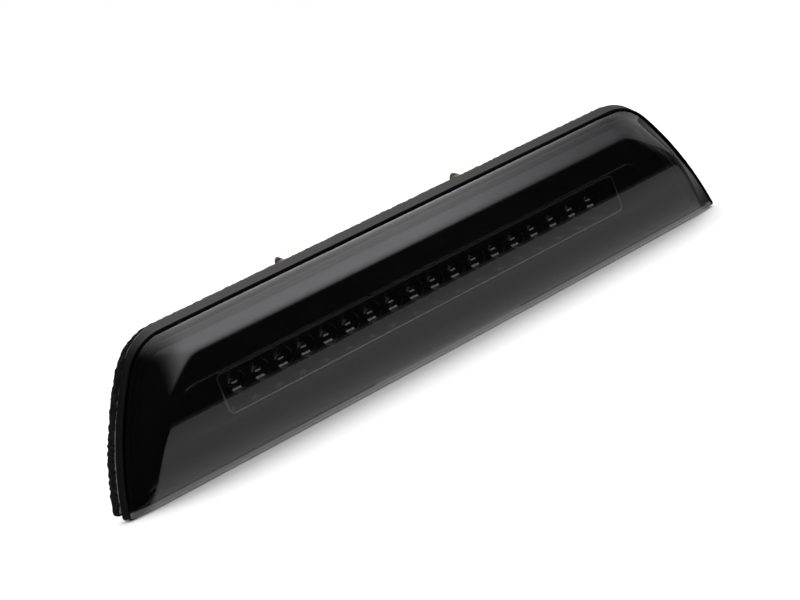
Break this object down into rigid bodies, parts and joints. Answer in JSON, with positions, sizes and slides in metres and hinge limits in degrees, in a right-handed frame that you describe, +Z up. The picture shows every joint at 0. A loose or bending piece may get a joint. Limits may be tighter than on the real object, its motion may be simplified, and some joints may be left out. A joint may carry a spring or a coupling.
{
  "type": "third brake light",
  "caption": "Wedge-shaped smoked third brake light with an LED row, spring clips, foam gasket and a plug on a short cable.",
  "frame": {"origin": "on the seat plane (back face of the foam gasket), at the middle of the gasket's lower strip, 8 mm above the lamp's bottom edge", "axes": "+X along the lamp, -Y forwards out of the lens, +Z up"},
  "size_m": [0.343, 0.0654, 0.0683],
  "materials": {
    "housing_plastic": "moulded satin black",
    "gasket_foam": "closed-cell foam, matte",
    "adhesive_film": "thin pale film",
    "smoked_lens": "dark smoked, high gloss",
    "sealant": "cured bead",
    "bezel_plastic": "gloss black",
    "reflector_chrome": "smoked vacuum metallised",
    "board": "solder-masked laminate",
    "led_body": "moulded package",
    "led_dome": "clear silicone dome",
    "component_black": "moulded chip",
    "capacitor_can": "sleeved can",
    "screw_steel": "zinc plated",
    "spring_steel": "plated spring steel",
    "vent_plastic": "moulded cap",
    "membrane": "expanded film",
    "grommet_rubber": "soft moulded",
    "cable_sheath": "satin sheath",
    "lead_red": "insulated lead",
    "lead_black": "insulated lead",
    "plug_plastic": "moulded plug",
    "terminal_tin": "tinned brass",
    "seal_orange": "silicone seal"
  },
  "bodies": {
    "lamp": {"rear_housing": "housing_plastic", "foam_gasket": "gasket_foam", "gasket_adhesive": "adhesive_film", "outer_lens": "smoked_lens", "lens_sealant": "sealant", "inner_bezel": "bezel_plastic", "led_reflector": "reflector_chrome", "circuit_board": "board", "led_packages": "led_body", "led_domes": "led_dome", "board_resistors": "component_black", "protection_diode": "component_black", "current_regulator": "component_black", "smoothing_capacitor": "capacitor_can", "board_screws": "screw_steel", "clip_screws": "screw_steel", "clip_foot_left": "spring_steel", "clip_foot_right": "spring_steel", "vent_membrane": "membrane", "vent_cap": "vent_plastic", "cable_grommet": "grommet_rubber", "cable_entry": "cable_sheath", "inner_lead_supply": "lead_red", "inner_lead_earth": "lead_black"},
    "clip_leaf_left": {"clip_leaf_left": "spring_steel"},
    "clip_leaf_right": {"clip_leaf_right": "spring_steel"},
    "pigtail": {"pigtail_cable": "cable_sheath", "connector_housing": "plug_plastic", "connector_terminals": "terminal_tin", "connector_seal": "seal_orange"},
    "latch": {"connector_latch": "plug_plastic"}
  },
  "joints": [
    {"name": "clip_left_flex", "type": "hinge", "parent": "lamp", "child": "clip_leaf_left", "pos_m": [-0.05, 0.017, 0.05565], "axis": [1, 0, 0], "range_deg": [0, 7], "stiffness_Nm_per_rad": 0.4},
    {"name": "clip_right_flex", "type": "hinge", "parent": "lamp", "child": "clip_leaf_right", "pos_m": [0.05, 0.017, 0.05565], "axis": [1, 0, 0], "range_deg": [0, 7], "stiffness_Nm_per_rad": 0.4},
    {"name": "pigtail_swing", "type": "hinge", "parent": "lamp", "child": "pigtail", "pos_m": [0.066, 0.0224, 0.026], "axis": [0, 0, -1], "range_deg": [0, 60]},
    {"name": "latch_press", "type": "hinge", "parent": "pigtail", "child": "latch", "pos_m": [-0.036, 0.0344, 0.0255], "axis": [0, 1, 0], "range_deg": [0, 8], "stiffness_Nm_per_rad": 0.05}
  ]
}
